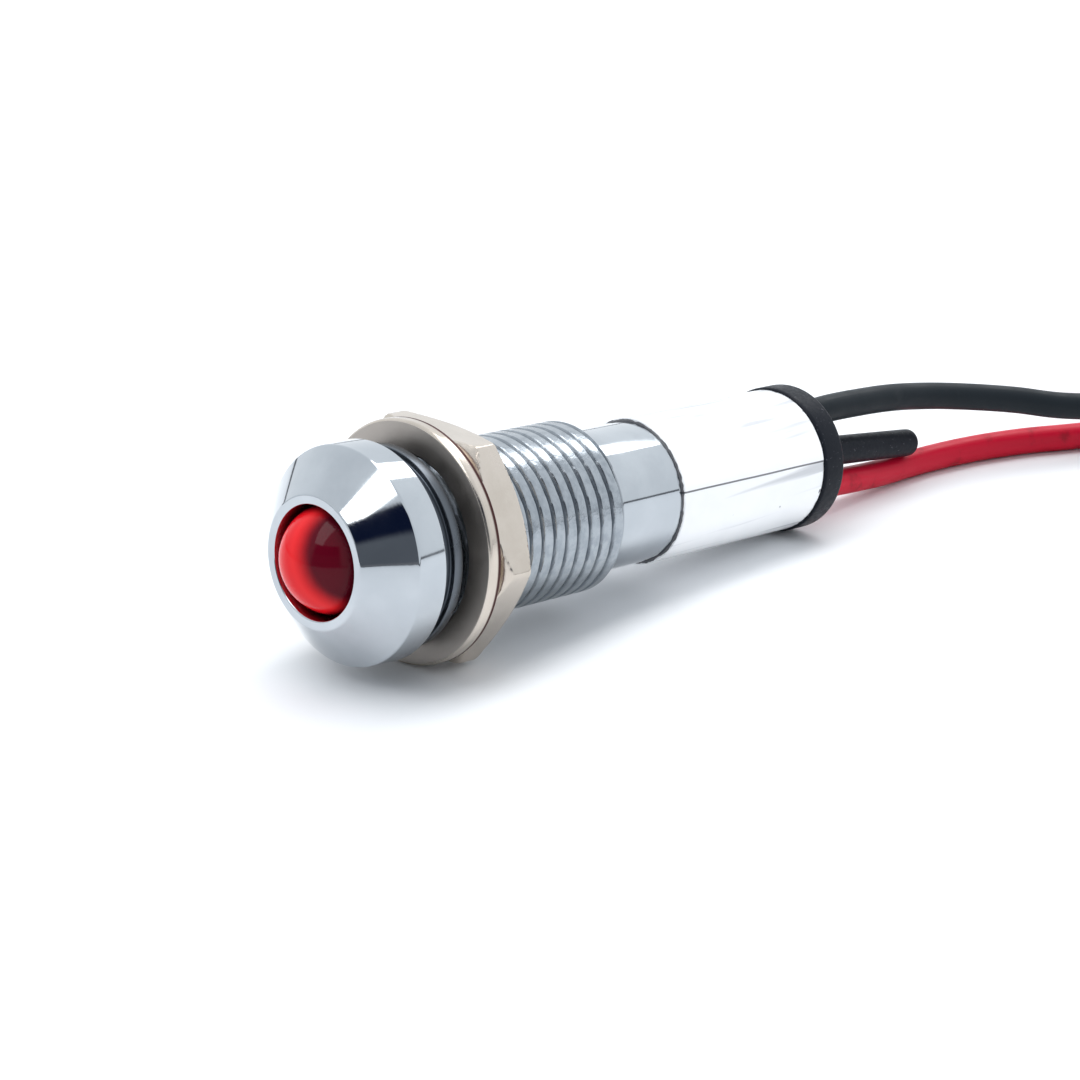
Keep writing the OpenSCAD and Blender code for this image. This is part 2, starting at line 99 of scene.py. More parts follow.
def add_grid(name, grids, sharp=32.0):
    """A mesh from one or more grids of points.

    Each grid is (points, uv) with points[i, j] the place of row i and column j; neighbouring rows and
    columns are joined by four-sided faces, and points that fall together are merged, which closes seams
    and poles. Edges that turn by more than the given angle stay sharp.
    """
    vertices, faces, uvs, start = [], [], [], 0
    for points, uv in grids:
        rows, columns = points.shape[:2]
        index = start + np.arange(rows * columns).reshape(rows, columns)
        quads = np.stack(
            [index[:-1, :-1], index[:-1, 1:], index[1:, 1:], index[1:, :-1]], axis=-1
        ).reshape(-1, 4)
        vertices.append(points.reshape(-1, 3))
        uvs.append(uv.reshape(-1, 2))
        faces.append(quads)
        start += rows * columns
    vertices, faces, uvs = map(np.concatenate, (vertices, faces, uvs))
    mesh = bpy.data.meshes.new(name)
    mesh.from_pydata(vertices.tolist(), [], faces.tolist())
    layer = mesh.uv_layers.new(name="surface")
    layer.data.foreach_set("uv", uvs[faces.reshape(-1)].ravel())
    work = bmesh.new()
    work.from_mesh(mesh)
    bmesh.ops.remove_doubles(work, verts=work.verts, dist=MERGE_WITHIN)
    bmesh.ops.dissolve_degenerate(work, edges=work.edges, dist=SHORTEST_EDGE)
    bmesh.ops.recalc_face_normals(work, faces=work.faces)
    work.to_mesh(mesh)
    work.free()
    mesh.shade_smooth()
    mesh.set_sharp_from_angle(angle=math.radians(sharp))
    obj = bpy.data.objects.new(name, mesh)
    bpy.context.scene.collection.objects.link(obj)
    return obj


def polar(obj):
    """Distance along the axis and radius of every point of a piece, in millimetres."""
    points = np.empty(len(obj.data.vertices) * 3)
    obj.data.vertices.foreach_get("co", points)
    offset = (points.reshape(-1, 3) - ORIGIN) / MM
    along = offset @ AXIS
    return along, np.linalg.norm(offset - along[:, None] * AXIS, axis=1)


def add_value(obj, name, value):
    """A value from 0 to 1 at every point of a piece, for its finish to read."""
    layer = obj.data.attributes.new(name, "FLOAT", "POINT")
    layer.data.foreach_set("value", np.clip(np.asarray(value, float), 0, 1))


def rounded(profile, radius=0.05, steps=3):
    """A profile of (along, radius) corners with each inner corner cut back and replaced by a short arc.

    The arc is the quadratic curve from the point one cut before the corner to the one after it.
    """
    corners = np.array(profile, dtype=float)
    out = [corners[:1]]
    for before, corner, after in zip(corners, corners[1:], corners[2:]):
        lengths = [np.linalg.norm(before - corner), np.linalg.norm(after - corner)]
        cut = min(radius, 0.4 * min(lengths))
        p = corner + (before - corner) * cut / lengths[0]
        q = corner + (after - corner) * cut / lengths[1]
        t = np.linspace(0, 1, steps + 2)[:, None]
        out.append((1 - t) ** 2 * p + 2 * t * (1 - t) * corner + t**2 * q)
    out.append(corners[-1:])
    return np.concatenate(out)


def turned(profile, columns=128, warp=None):
    """Grid of a turned surface: each profile point (along, radius) is carried round the axis.

    The point at angle a is up by radius times cos a and to the side by radius times sin a. The optional
    warp(along, radius, angle) gives a new radius for every point.
    """
    angle = np.linspace(0, 2 * math.pi, columns + 1)
    along, angle = np.meshgrid(profile[:, 0], angle, indexing="ij")
    radius = np.broadcast_to(profile[:, 1:2], along.shape)
    if warp is not None:
        radius = warp(along, radius, angle)
    points = place(along, radius * np.cos(angle), radius * np.sin(angle))
    points[:, -1] = points[:, 0]
    step = np.linalg.norm(np.diff(profile, axis=0), axis=1)
    run = np.concatenate([[0], np.cumsum(step)])
    uv = np.stack(
        [angle / (2 * math.pi), np.broadcast_to(run[:, None], along.shape)], -1
    )
    return points, uv


def smooth_min(a, b, soft):
    """The smaller of two values, rounded where they are within soft of each other."""
    h = np.clip(0.5 + 0.5 * (b - a) / soft, 0, 1)
    return b * (1 - h) + a * h - soft * h * (1 - h)


def smooth_step(low, high, x):
    """0 below low, 1 above high, and a smooth cubic between."""
    t = np.clip((x - low) / (high - low), 0, 1)
    return t * t * (3 - 2 * t)


def smooth_line(points, spacing):
    """A smooth curve through the points, resampled at equal steps.

    It is the chord-length Catmull-Rom curve: between two points a cubic whose end slopes are those of the
    neighbouring chords.
    """
    p = np.asarray(points, dtype=float)
    t = np.concatenate([[0], np.cumsum(np.linalg.norm(np.diff(p, axis=0), axis=1))])
    slope = np.gradient(p, t, axis=0)
    fine = np.linspace(0, t[-1], 40 * len(p))
    k = np.clip(np.searchsorted(t, fine, side="right") - 1, 0, len(t) - 2)
    h = (t[k + 1] - t[k])[:, None]
    s = ((fine - t[k])[:, None]) / h
    curve = (
        (2 * s**3 - 3 * s**2 + 1) * p[k]
        + (s**3 - 2 * s**2 + s) * h * slope[k]
        + (3 * s**2 - 2 * s**3) * p[k + 1]
        + (s**3 - s**2) * h * slope[k + 1]
    )
    run = np.concatenate([[0], np.cumsum(np.linalg.norm(np.diff(curve, axis=0), axis=1))])
    count = max(2, int(round(run[-1] / spacing)) + 1)
    even = np.linspace(0, run[-1], count)
    return np.stack([np.interp(even, run, curve[:, i]) for i in range(3)], axis=1)


def tube(path, radii, columns=20, shape=None):
    """Grid of a closed tube along a path.

    Each ring stands square to the path: its sideways direction is level, and its upward direction is the
    cross product of the two. The radius may change along the path, and shape(run, angle) scales it.
    """
    path = np.asarray(path)
    tangent = np.gradient(path, axis=0)
    tangent /= np.linalg.norm(tangent, axis=1)[:, None]
    level = np.cross(tangent, [0.0, 0.0, 1.0])
    level /= np.linalg.norm(level, axis=1)[:, None]
    upward = np.cross(level, tangent)
    run = np.concatenate([[0], np.cumsum(np.linalg.norm(np.diff(path, axis=0), axis=1))])
    angle = np.linspace(0, 2 * math.pi, columns + 1)
    radii = np.broadcast_to(radii, run.shape)[:, None] * np.ones_like(angle)
    if shape is not None:
        radii = radii * shape(run[:, None], angle[None, :])
    points = (
        path[:, None, :]
        + (radii * np.cos(angle))[..., None] * upward[:, None, :]
        + (radii * np.sin(angle))[..., None] * level[:, None, :]
    )
    points[:, -1] = points[:, 0]
    first, last = (path[row, None].repeat(columns + 1, 1) for row in (slice(0, 1), slice(-1, None)))
    points = np.concatenate([first, points, last])
    run = np.concatenate([run[:1], run, run[-1:]])
    uv = np.stack(np.broadcast_arrays(angle[None, :] / (2 * math.pi), run[:, None] / MM), -1)
    return points, uv


# -------- materials

NOISE_ROUGHNESS = 0.55
# Painted light on the dome: the point where light seems to enter, from the dome's centre along, up and to
# the side in millimetres, and how far from there in metres the painted crescent begins and is full, and
# its painted highlight line begins to fade and ends
PAINTED_LIGHT_ENTRY = (-0.86, 0.86, -2.13)
PAINTED_CRESCENT, PAINTED_HIGHLIGHT_LINE = (0.00185, 0.0028), (0.0027, 0.0031)


class Value:
    """One output socket of a material, so that shader maths reads as Python."""

    def __init__(self, material, socket):
        self.material = material
        self.socket = socket

    def math(self, operation, *values, clamp=False):
        settings = {"operation": operation, "use_clamp": clamp}
        return self.material.add("ShaderNodeMath", settings, values)

    def __add__(self, other):
        return self.math("ADD", self, other)

    def __sub__(self, other):
        return self.math("SUBTRACT", self, other)

    def __rsub__(self, other):
        return self.math("SUBTRACT", other, self)

    def __mul__(self, other):
        return self.math("MULTIPLY", self, other)

    def __pow__(self, other):
        return self.math("POWER", self, other)

    __radd__ = __add__
    __rmul__ = __mul__

    def size(self):
        return self.math("ABSOLUTE", self)

    def clamped(self):
        return self.math("ADD", self, 0.0, clamp=True)


class Material:
    """A node material with one Principled shader."""

    def __init__(self, name, **constants):
        self.data = bpy.data.materials.new(name)
        self.data.use_nodes = True
        self.tree = self.data.node_tree
        self.shader = self.tree.nodes["Principled BSDF"]
        for socket, value in constants.items():
            self.shader.inputs[socket.replace("_", " ")].default_value = value

    @classmethod
    def of_world(cls, name):
        """The same wrapper round a world and its Background shader."""
        self = cls.__new__(cls)
        self.data = bpy.data.worlds.new(name)
        self.data.use_nodes = True
        self.tree = self.data.node_tree
        self.shader = self.tree.nodes["Background"]
        return self

    def add(self, kind, settings=None, values=(), output=0):
        """Adds a node: its settings first, then the values or links of its sockets."""
        node = self.tree.nodes.new(kind)
        for key, value in (settings or {}).items():
            if key == "stops":
                elements = node.color_ramp.elements
                while len(elements) < len(value):
                    elements.new(0.5)
                for element, (position, colour) in zip(elements, value):
                    element.position = position
                    element.color = colour
            else:
                setattr(node, key, value)
        pairs = values.items() if isinstance(values, dict) else enumerate(values)
        for key, value in pairs:
            self.link(node.inputs[key], value)
        return Value(self, node.outputs[output])

    def link(self, socket, value):
        if isinstance(value, Value):
            self.tree.links.new(value.socket, socket)
        else:
            socket.default_value = value

    def set(self, **values):
        """Links what changes over the surface to the shader."""
        for name, value in values.items():
            self.link(self.shader.inputs[name.replace("_", " ")], value)
        return self

    def place(self):
        return self.add("ShaderNodeTexCoord", output="Object")

    def uv(self):
        return self.add("ShaderNodeUVMap", {"uv_map": "surface"})

    def value(self, name):
        """A value kept at the points of the mesh."""
        return self.add("ShaderNodeAttribute", {"attribute_name": name}, output="Fac")

    def turn(self, vector, scale=(1, 1, 1), location=(0, 0, 0)):
        return self.add(
            "ShaderNodeMapping", {}, {"Vector": vector, "Scale": scale, "Location": location}
        )

    def noise(self, vector, scale, detail=3.0):
        sockets = {"Vector": vector, "Scale": scale, "Detail": detail, "Roughness": NOISE_ROUGHNESS}
        return self.add("ShaderNodeTexNoise", {}, sockets)

    def band(self, value, low, high, start=0.0, end=1.0):
        """Maps low..high of a value to start..end, smoothly and held at both ends."""
        return self.add(
            "ShaderNodeMapRange",
            {"interpolation_type": "SMOOTHSTEP"},
            {"Value": value, "From Min": low, "From Max": high, "To Min": start, "To Max": end},
        )

    def mix(self, factor, first, second):
        """One colour changing into another."""
        node = self.tree.nodes.new("ShaderNodeMix")
        node.data_type = "RGBA"
        self.link(node.inputs[0], factor)
        self.link(node.inputs[6], first)
        self.link(node.inputs[7], second)
        return Value(self, node.outputs[2])

    def bump(self, height, distance, strength=1.0):
        return self.add(
            "ShaderNodeBump", {}, {"Strength": strength, "Distance": distance, "Height": height}
        )


def rgba(colour, alpha=1.0):
    return (*colour, alpha)


def chrome_plate():
    """Bright chrome with the faint drag lines of turning, duller and with painted shade deep in thread and
    groove.
    """
    m = Material("chrome_plate", Metallic=1.0)
    at = m.place()
    smudge = m.noise(at, 260, detail=4)
    grain = m.noise(m.turn(at, scale=(9000, 700, 700)), 1.0, detail=2)
    pits = m.noise(at, 2400, detail=2)
    dents = m.noise(at, 1500, detail=3)
    groove = m.value("groove")
    worn = m.value("worn")
    clean = m.mix(m.band(smudge, 0.35, 0.7), rgba((0.45, 0.48, 0.51)), rgba((0.52, 0.55, 0.58)))
    clean = m.mix(worn * m.band(pits, 0.35, 0.7, 0.6, 1.0), clean, rgba((0.3, 0.33, 0.36)))
    # Painted shade: the groove value darkens the thread's roots, the groove behind the rim and the shoulder
    m.set(
        Base_Color=m.mix(groove, clean, m.mix(worn, rgba((0.06, 0.07, 0.085)), rgba((0.2, 0.22, 0.245)))),
        Roughness=0.045 + m.band(smudge, 0.4, 0.75) * 0.06 + groove * 0.25 + worn * 0.15,
        Normal=m.bump(grain * 0.0000012 + worn * dents * 0.000035, 1.0),
    )
    return m.data


def nickel_plate():
    """Warm nickel plate, duller on the pressed face, with painted brown shade where washer and nut meet."""
    m = Material("nickel_plate", Metallic=1.0)
    at = m.place()
    cloud = m.noise(at, 420, detail=4)
    grain = m.noise(m.turn(at, scale=(2500, 9000, 9000)), 1.0, detail=3)
    stain = m.value("stain")
    face = m.value("face")
    plate = m.mix(m.band(cloud, 0.3, 0.7), rgba((0.56, 0.5, 0.435)), rgba((0.64, 0.575, 0.51)))
    plate = m.mix(face * 0.6, plate, rgba((0.42, 0.4, 0.38)))
    # Painted shade: this value darkens the plate to brown where washer and nut meet, and faintly tints the
    # rest of the washer
    m.set(
        Base_Color=m.mix(stain, plate, rgba((0.07, 0.03, 0.028))),
        Roughness=0.16 + m.band(cloud, 0.35, 0.7) * 0.12 + stain * 0.3 + face * 0.2,
        Normal=m.bump(grain, 0.000002),
    )
    return m.data


def red_epoxy(clear=(0.74, 0.008, 0.014)):
    """Clear red epoxy with painted light: a glowing crescent with a pale painted highlight line along it.

    The crescent is where the distance from the point where light seems to enter is greatest.
    """
    m = Material(
        "red_epoxy", Transmission_Weight=0.12, IOR=1.5, Specular_IOR_Level=0.07, Emission_Strength=0.07
    )
    at = m.place()
    haze = m.noise(at, 900, detail=2)
    entry = place(DOME_CENTRE + PAINTED_LIGHT_ENTRY[0], *PAINTED_LIGHT_ENTRY[1:])
    offset = m.turn(at, location=tuple(-entry))
    reach = m.add("ShaderNodeVectorMath", {"operation": "LENGTH"}, (offset,), "Value")
    # Painted light: the crescent takes the clear colour and glows with it, a pale painted highlight line
    # runs along its inner side, both fade out where the lamp goes into the body, and elsewhere the dome is
    # deep red
    painted_glow = m.band(reach + (haze - 0.5) * 0.0001, *PAINTED_CRESCENT) * m.value("open")
    line = painted_glow * m.band(reach, *PAINTED_HIGHLIGHT_LINE, 1.0, 0.0)
    deep = rgba((0.1, 0.0022, 0.01))
    m.set(
        Base_Color=m.mix(line * 0.35, m.mix(painted_glow, deep, rgba(clear)), rgba((0.92, 0.05, 0.05))),
        Roughness=0.05 + haze * 0.05,
        Emission_Color=m.mix(painted_glow, rgba((0.0, 0.0, 0.0)), rgba(clear)),
    )
    return m.data


def label_stock():
    """White coated paper under clear film: a faint cloud, a slack ripple, a seam and painted shade at its
    ends.

    The seam runs along the label at one angle round it, where the paper's two edges meet. Grey streaks of
    painted shade run lengthwise, and painted shade makes the top of the label greyer.
    """
    m = Material("label_stock", Coat_Weight=0.6, Coat_Roughness=0.04, IOR=1.45)
    at = m.place()
    cloud = m.noise(at, 700, detail=3)
    ripple = m.noise(m.turn(at, scale=(160, 420, 420)), 1.0, detail=2)
    round_it = m.add("ShaderNodeSeparateXYZ", {}, (m.uv(),), "X")
    wander = (m.noise(m.turn(at, scale=(300, 0, 0)), 1.0, detail=1) - 0.5) * 0.002
    away = (round_it + wander - SEAM_TURN / 360).size()
    seam = m.band(away, 0.0013, 0.0026, 0.9, 0.0)
    # Painted shade: a dark line along the front cut edge and ragged dark nicks at the rear end
    edge = m.band(m.value("edge") + (m.noise(at, 2600, detail=1) - 0.5) * 1.6, 0.45, 0.6, 0.0, 0.9)
    # Painted shade: grey streaks along the label and a greyer band along its top
    painted_streaks = m.band(m.noise(m.turn(at, scale=(45, 1400, 1400)), 1.0, detail=2), 0.58, 0.7, 0.0, 0.7)
    painted_top_shade = m.band((round_it - 0.5).size(), 0.42, 0.49, 0.0, 0.6)
    paper = m.mix(m.band(cloud, 0.3, 0.75), rgba((0.93, 0.935, 0.945)), rgba((0.96, 0.96, 0.965)))
    paper = m.mix((painted_streaks + painted_top_shade).clamped(), paper, rgba((0.45, 0.46, 0.49)))
    m.set(
        Base_Color=m.mix((seam + edge).clamped(), paper, rgba((0.035, 0.035, 0.045))),
        Roughness=0.3 + cloud * 0.1,
        Normal=m.bump(ripple, 0.00004, 0.6),
    )
    return m.data


def black_moulding():
    """Satin black plastic with fine mould grain and a little pale dust."""
    m = Material("black_moulding", Specular_IOR_Level=0.12)
    at = m.place()
    grain = m.noise(at, 5200, detail=3)
    dust = m.noise(at, 9000, detail=1)
    m.set(
        Base_Color=m.mix(
            m.band(dust, 0.7, 0.76) * 0.5, rgba((0.006, 0.008, 0.013)), rgba((0.14, 0.14, 0.16))
        ),
        Roughness=0.36 + m.band(grain, 0.3, 0.7) * 0.14,
        Normal=m.bump(grain, 0.000012, 0.6),
    )
    return m.data


def soft_vinyl(name, colour, shade, gloss):
    """Flexible insulation: fine extrusion lines along the lead and a few rubbed marks."""
    m = Material(name, Specular_IOR_Level=0.16)
    at = m.place()
    run = m.uv()
    lines = m.noise(m.turn(run, scale=(26, 0.3, 1)), 1.0, detail=2)
    marks = m.noise(at, 750, detail=4)
    m.set(
        Base_Color=m.mix(m.band(marks, 0.56, 0.72), rgba(colour), rgba(shade)),
        Roughness=gloss + m.band(marks, 0.35, 0.7) * 0.12,
        Normal=m.bump(lines, 0.00001, 0.5),
    )
    return m.data


def tinned_copper():
    """Tinned strands, bright with dull patches."""
    m = Material("tinned_copper", Metallic=1.0)
    patch = m.noise(m.place(), 3000, detail=3)
    m.set(
        Base_Color=m.mix(m.band(patch, 0.35, 0.7), rgba((0.7, 0.7, 0.72)), rgba((0.84, 0.84, 0.85))),
        Roughness=0.2 + m.band(patch, 0.4, 0.7) * 0.25,
    )
    return m.data


def plain(name, first, second, scale, roughness, metallic):
    """A finish for the small parts inside: two close shades in a cloud, with matching roughness."""
    m = Material(name, Metallic=metallic)
    cloud = m.noise(m.place(), scale, detail=3)
    m.set(
        Base_Color=m.mix(m.band(cloud, 0.35, 0.68), rgba(first), rgba(second)),
        Roughness=roughness + cloud * 0.15,
        Normal=m.bump(cloud, 0.000004, 0.5),
    )
    return m.data


def dress(obj, material, body=None, replaces=()):
    """Gives a piece its finish and its place in the model."""
    obj.data.materials.clear()
    obj.data.materials.append(material)
    if body:
        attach(obj, body)
    if replaces:
        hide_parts(*replaces)
    return obj


# -------- leads

HANK_AT, HANK_R, HANK_HALF, HANK_TURNS, HANK_PITCH = (50.6, -1.6), 4.25, 6.4, 2, 1.4
CLIMB_SHARE = 0.2
BARE_LEN, BARE_R, BARE_INSIDE = 5.0, 0.3, 0.6
LEAD_INSIDE, LEAD_STRAIGHT = 2.0, 1.2
LEAD_STEP, BARE_STEP = 0.35, 0.1
STRANDS, STRAND_LAY = 7, 4.0
TIE_LIFT, TIE_WIDTH, TIE_THICK = 0.2, 1.6, 0.2
# In millimetres: how far above the axis each lead leaves the plug, its height in the hank, places between
# plug and hank, and its far end as steps from the hank's first point
LEADS = {
    "red": {
        "up": -LEAD_UP,
        "height": 0.7,
        "route": [
            (14, 0, 1.4), (16.5, 0.1, 1.1), (19, 0.25, 0.82), (21.5, 0.3, 0.71), (24, 0, 0.7),
            (26.5, -0.6, 0.7), (29, -1.55, 0.7), (31.5, -2.9, 0.7), (34, -4.2, 0.7),
            (36.5, -5.05, 0.7), (39, -5.55, 0.7), (41.6, -5.8, 0.7),
        ],
        "end": [
            (-4.25, 4.25, 1.4), (-4.07, 2.57, 1.41), (-3.39, 0.86, 1.42), (-2.03, -0.65, 1.42),
            (0, -1.42, 1.4), (2.2, -1.65, 1.1), (4.2, -1.85, 0.4), (6, -1.9, 0), (9.5, -1.9, 0),
        ],
    },
    "black": {
        "up": LEAD_UP,
        "height": 3.52,
        "route": [
            (14, 0, 5.4), (16.5, 0, 5.2), (19.3, -0.1, 4.9), (22, -0.5, 4.5), (24.5, -1.3, 4.08),
            (27, -2.35, 3.6), (29.3, -3.6, 3.07), (31.6, -4.75, 2.8), (34, -5.5, 2.8), (36.5, -5.87, 3.03),
            (39, -6, 3.4), (41.6, -5.93, 3.53),
        ],
        "end": [
            (-4.25, 4.25, 1.4), (-4.07, 2.57, 1.42), (-3.39, 0.86, 1.45), (-2.03, -0.65, 1.45),
            (0, -1.45, 1.4), (1.8, -1.95, 1.1), (3.6, -2.7, 0.2), (5.2, -3.3, -1.1),
            (6.8, -3.65, -2.3), (8.2, -3.75, -2.82), (9.6, -3.75, -2.82),
        ],
    },
}


def stadium(run):
    """Places along the hank's outline, which is two straight sides joined by half circles.

    run goes from the start of the near side; the near side heads away from the light.
    """
    x0, y0 = HANK_AT
    straight, bend = 2 * HANK_HALF, math.pi * HANK_R
    run = np.mod(run, 2 * (straight + bend))
    back = run >= straight + bend
    part = np.where(back, run - straight - bend, run)
    on_line = part < straight
    angle = (part - straight) / HANK_R
    x = np.where(on_line, part - HANK_HALF, HANK_HALF + HANK_R * np.sin(angle))
    y = np.where(on_line, -HANK_R, -HANK_R * np.cos(angle))
    turn = np.where(back, -1.0, 1.0)
    return x0 + turn * x, y0 + turn * y


def hank_points(height):
    """Turns on each other, the last without its last quarter circle, where the far end swings out.

    Each turn but the last climbs by one diameter just before it comes back to its start, and all turns are
    lifted a little where the tie passes under them.
    """
    round_once = 4 * HANK_HALF + 2 * math.pi * HANK_R
    run = np.linspace(0, HANK_TURNS * round_once - math.pi / 2 * HANK_R - 1, 26 * HANK_TURNS)
    turns = run / round_once
    climb = np.clip((turns - np.floor(turns) - (1 - CLIMB_SHARE)) / CLIMB_SHARE, 0, 1)
    level = np.minimum(np.floor(turns) + climb * climb * (3 - 2 * climb), HANK_TURNS - 1)
    x, y = stadium(run)
    lift = TIE_LIFT * np.exp(-(((x - HANK_AT[0]) / 2.2) ** 2)) * (y > HANK_AT[1] + 0.9 * HANK_R)
    return np.stack([x, y, height + HANK_PITCH * level + lift], 1)


def lead_route(lead):
    """Centreline in metres from inside the plug to the end of the insulation, and of the bare tip."""
    inside = place(PLUG_REAR - LEAD_INSIDE * np.array([1.0, 0.5]), lead["up"])
    leave = place(PLUG_REAR + LEAD_STRAIGHT * np.array([0.0, 1.0]), lead["up"])
    free = np.array(lead["route"], dtype=float) * MM
    start = np.array([HANK_AT[0] - HANK_HALF, HANK_AT[1] - HANK_R, lead["height"]])
    end = (start + np.array(lead["end"])) * MM
    outside = np.concatenate([leave, free, hank_points(lead["height"]) * MM, end])
    way = (end[-1] - end[-2]) / np.linalg.norm(end[-1] - end[-2]) * np.array([1.0, 1.0, 0.0])
    tip = end[-1] + MM * np.array([[-BARE_INSIDE], [0.0], [BARE_LEN / 2], [BARE_LEN]]) * way
    return inside, outside, tip


def strands(run, angle):
    """Seven twisted strands: seven rounded ridges that turn once in four millimetres."""
    twist = 2 * math.pi * run / (STRAND_LAY * MM)
    return 0.93 + 0.07 * np.abs(np.cos(STRANDS / 2 * (angle - twist)))


def build_lead(colour, material):
    """A round insulated lead along its route, with its bare twisted tip and what else is on it."""
    lead = LEADS[colour]
    inside, outside, tip = lead_route(lead)
    centre = smooth_line(outside, LEAD_STEP * MM)
    # The curve may overshoot its points, and the lead doesn't go below the table
    centre[:, 2] = np.maximum(centre[:, 2], LEAD_R * MM)
    line = np.concatenate([inside, centre])
    name = "lead_" + colour
    wire = add_grid(name + "_insulation", [tube(line, LEAD_R * MM)])
    dress(wire, material, "lamp", (name, name + "_coil", name + "_end"))
    bare = add_grid(name + "_bare_tip", [tube(smooth_line(tip, BARE_STEP * MM), BARE_R * MM, 28, strands)])
    dress(bare, tinned_copper(), "lamp", (name + "_tip",))


def tie_grid():
    """Grid of the tie: a soft flat ring round the stacked leads on the far side of the hank.

    The ring's section is an upright rounded slot: at angle a its middle line is (cos a, sin a) with each
    part raised to the power 0.55, stretched to the width and the height of the stack.
    """
    angle = np.linspace(0, 2 * math.pi, 97)
    section = np.linspace(0, 2 * math.pi, 17)
    c, s = np.cos(angle), np.sin(angle)
    out = np.stack([np.sign(c) * np.abs(c) ** 0.55, np.sign(s) * np.abs(s) ** 0.55], 1)
    stack_height = 2 * HANK_TURNS * HANK_PITCH
    half = np.array([LEAD_R + TIE_THICK / 2, stack_height / 2 + TIE_THICK / 2])
    thick = 1 + TIE_THICK * np.cos(section)[None, :, None] / (2 * half[None, None, :])
    ring = (out * half)[:, None, :] * thick
    x = HANK_AT[0] + TIE_WIDTH / 2 * np.sin(section)[None, :] * (1 + 0.05 * np.sin(3 * angle))[:, None]
    y = HANK_AT[1] + HANK_R + ring[..., 0]
    z = LEADS["red"]["height"] - LEAD_R + TIE_LIFT + stack_height / 2 + ring[..., 1]
    points = np.stack([x, y, z], -1) * MM
    points[-1] = points[0]
    points[:, -1] = points[:, 0]
    uv = np.stack(np.broadcast_arrays(angle[:, None] / (2 * math.pi), section[None, :]), -1)
    return points, uv


class PILOT_OT_leads(bpy.types.Operator):
    """Makes the red and the black lead in one tied hank, each with its bare tip"""

    bl_idname = "pilot.leads"
    bl_label = "Leads"

    def execute(self, context):
        colours = context.scene.pilot_leads
        red = soft_vinyl("red_vinyl", tuple(colours.red), tuple(colours.red_mark), 0.32)
        black = soft_vinyl("black_vinyl", tuple(colours.black), tuple(colours.black_mark), 0.4)
        band = soft_vinyl("tie_band", (0.02, 0.02, 0.022), (0.05, 0.05, 0.05), 0.45)
        tie = dress(add_grid("hank_tie", [tie_grid()]), band, "lamp")
        build_lead("red", red)
        build_lead("black", black)
        return {"FINISHED"}


# -------- turned body

# The crest's share of the way to the root, half the length over which the groove fades in, and how
# strongly shade is painted on the shoulder and in the recesses either side of it
CREST_SHARE, THREAD_FADE = 0.62, 0.3
SHOULDER_SHADE, RECESS_SHADE = 0.86, 0.97


def thread_radius(along, radius, angle):
    """Radius of the threaded barrel.

    away is the distance from the middle of the crest in half pitches. Its phase grows by one with each
    pitch along the axis and each turn round it, so the groove is a right-hand helix. The crest is flat, and
    a smooth curve falls from it to the root. The groove fades in behind the relief.
    """
    phase = along / THREAD_PITCH + angle / (2 * math.pi)
    away = np.abs(2 * (phase - np.floor(phase)) - 1)
    depth = THREAD_DEPTH * smooth_step(CREST_SHARE, 1.0, away)
    fade = smooth_step(RELIEF_REAR - THREAD_FADE, RELIEF_REAR + THREAD_FADE, along)
    cutting = THREAD_R - depth * fade
    inside = (along > RELIEF_REAR - 0.2) & (along < THREAD_REAR + 1e-6)
    outer = radius > TAIL_R - 0.01
    return np.where(inside & outer, np.minimum(radius, cutting), radius)


def bezel_profile():
    """Outline of the turned body from the lamp hole round the outside and back through the bore."""
    bevel = 0.1
    thread = np.arange(RELIEF_REAR + 0.3, THREAD_REAR - 0.24, THREAD_PITCH / 16)
    head = [
        (0.3, LAMP_HOLE_R), (0.0, LAMP_HOLE_R + 0.08), (0.0, LAND_R - bevel / 2),
        (RIM_FRONT, RIM_R - bevel / 3),
        (RIM_REAR, RIM_R), (RIM_REAR, GROOVE_R), (SHOULDER_FRONT, GROOVE_R),
        (SHOULDER_FRONT, SHOULDER_R), (SHOULDER_REAR, SHOULDER_R), (SHOULDER_REAR, RELIEF_R),
        (RELIEF_REAR, RELIEF_R), (RELIEF_REAR + 0.25, THREAD_R - 0.01),
    ]
    barrel = np.stack([thread, np.full_like(thread, THREAD_R)], 1)
    rear = [
        (THREAD_REAR - 0.23, THREAD_R), (THREAD_REAR, THREAD_R - 0.23), (THREAD_REAR, TAIL_R + 0.02),
        (THREAD_REAR + 0.06, TAIL_R), (TAIL_REAR, TAIL_R), (TAIL_REAR, BORE_R), (FLANGE_FRONT, BORE_R),
        (FLANGE_FRONT, LAMP_HOLE_R), (0.3, LAMP_HOLE_R),
    ]
    return np.concatenate([rounded(head, 0.07, 4), barrel, rounded(rear, 0.05, 2)])


def build_bezel():
    """The chromed body with its bevelled head, groove, shoulder, thread and tail."""
    grid = turned(bezel_profile(), 160, thread_radius)
    bezel = add_grid("bezel", [grid], sharp=28)
    add_recess_shade_and_wear(bezel)
    dress(bezel, chrome_plate(), "lamp", ("bezel_body",))


